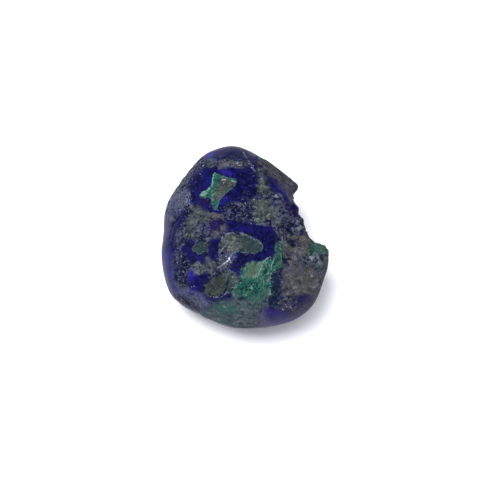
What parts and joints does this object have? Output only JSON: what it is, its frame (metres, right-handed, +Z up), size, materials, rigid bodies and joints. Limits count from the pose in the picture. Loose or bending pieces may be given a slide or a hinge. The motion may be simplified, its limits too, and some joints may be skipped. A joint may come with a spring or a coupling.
{
  "type": "azurite malachite specimen",
  "caption": "Thumb-sized tumbled pebble of blue azurite and green malachite in grey rock, with one broken side, resting on a worn flat underside.",
  "frame": {"origin": "on the surface the stone rests on, under the middle of its box", "axes": "+Z up from the worn flat underside, +Y along the stone's length towards its narrow end, +X towards its broken side"},
  "size_m": [0.0256, 0.0324, 0.0126],
  "materials": {
    "stone": "tumbled to a soft polish, rough where broken"
  },
  "bodies": {
    "root": {"azurite_malachite_stone": "stone"}
  },
  "joints": []
}
